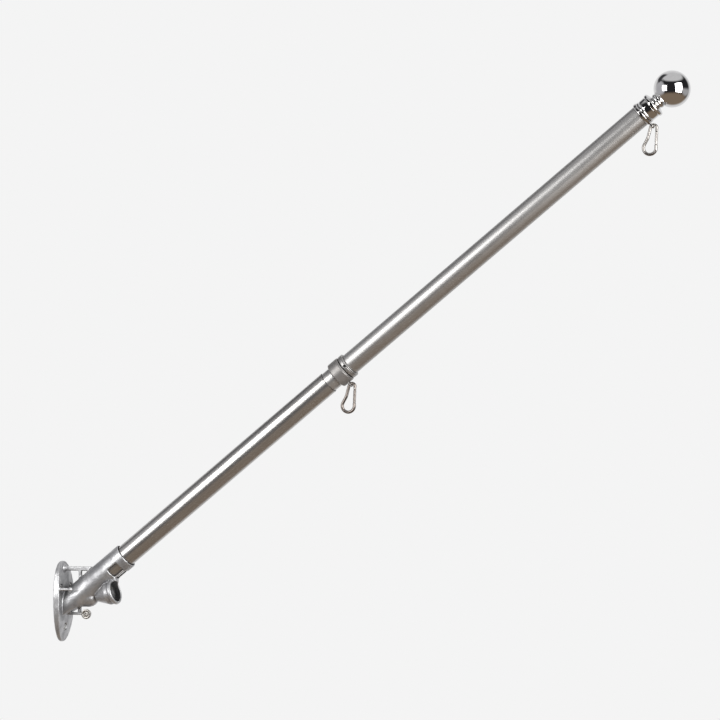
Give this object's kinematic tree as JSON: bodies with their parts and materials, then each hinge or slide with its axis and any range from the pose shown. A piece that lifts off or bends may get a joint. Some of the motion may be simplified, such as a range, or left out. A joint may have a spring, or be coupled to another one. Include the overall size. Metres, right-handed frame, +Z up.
{
  "type": "wall-mounted flagpole",
  "caption": "Two-section tube flagpole seated in a cast wall bracket with an upper and a lower socket, swivelling rings with snap hooks at mid length and tip, and a ball finial.",
  "frame": {"origin": "centre of the oval wall plate's back face, on the wall", "axes": "+X out of the wall, +Z up, +Y the far side as seen from the thumb screw; the pole lies in the XZ plane and rises 39.5 degrees from +X"},
  "size_m": [0.7277, 0.052, 0.6376],
  "materials": {
    "cast_bracket": "satin, lightly mottled as cast",
    "zinc_screws": "zinc plated",
    "thumb_screw": "knurled, satin",
    "pole_tube": "satin anodised",
    "collar": "satin anodised, a shade darker than the tubes",
    "dark_steel": "blackened",
    "chrome_tip": "polished",
    "hook_steel": "smooth satin"
  },
  "bodies": {
    "bracket": {"bracket_casting": "cast_bracket", "wall_screw_near": "zinc_screws", "wall_screw_far": "zinc_screws", "wall_screw_bottom": "zinc_screws", "lower_tube": "pole_tube", "joint_sleeve": "pole_tube", "retaining_collar": "collar", "set_screw": "dark_steel", "upper_tube": "pole_tube", "ferrule": "chrome_tip", "finial_bead": "chrome_tip", "ball_finial": "chrome_tip"},
    "thumb_screw": {"thumb_screw": "thumb_screw"},
    "mid_ring": {"mid_ring": "collar"},
    "mid_hook": {"mid_hook": "hook_steel", "mid_gate_pin": "hook_steel"},
    "mid_gate": {"mid_gate": "hook_steel"},
    "tip_ring": {"tip_ring": "chrome_tip"},
    "tip_hook": {"tip_hook": "hook_steel", "tip_gate_pin": "hook_steel"},
    "tip_gate": {"tip_gate": "hook_steel"}
  },
  "joints": [
    {"name": "thumb_screw_turn", "type": "hinge", "parent": "bracket", "child": "thumb_screw", "pos_m": [0.0324, 0, -0.014], "axis": [0, -1, 0], "continuous": true},
    {"name": "mid_ring_swivel", "type": "hinge", "parent": "bracket", "child": "mid_ring", "pos_m": [0.33232, 0, 0.26217], "axis": [0.7716, 0, 0.6361], "continuous": true},
    {"name": "mid_hook_swing", "type": "hinge", "parent": "mid_ring", "child": "mid_hook", "pos_m": [0.34542, 0, 0.24627], "axis": [0, 1, 0], "range_deg": [-80, 20]},
    {"name": "mid_gate_open", "type": "hinge", "parent": "mid_hook", "child": "mid_gate", "pos_m": [0.34882, 0, 0.24407], "axis": [0, 1, 0], "range_deg": [0, 25], "stiffness_Nm_per_rad": 0.02, "springref_deg": -17.19},
    {"name": "tip_ring_swivel", "type": "hinge", "parent": "bracket", "child": "tip_ring", "pos_m": [0.67461, 0, 0.54434], "axis": [0.7716, 0, 0.6361], "continuous": true},
    {"name": "tip_hook_swing", "type": "hinge", "parent": "tip_ring", "child": "tip_hook", "pos_m": [0.68708, 0, 0.52921], "axis": [0, 1, 0], "range_deg": [-80, 20]},
    {"name": "tip_gate_open", "type": "hinge", "parent": "tip_hook", "child": "tip_gate", "pos_m": [0.69048, 0, 0.52701], "axis": [0, 1, 0], "range_deg": [0, 25], "stiffness_Nm_per_rad": 0.02, "springref_deg": -17.19}
  ]
}
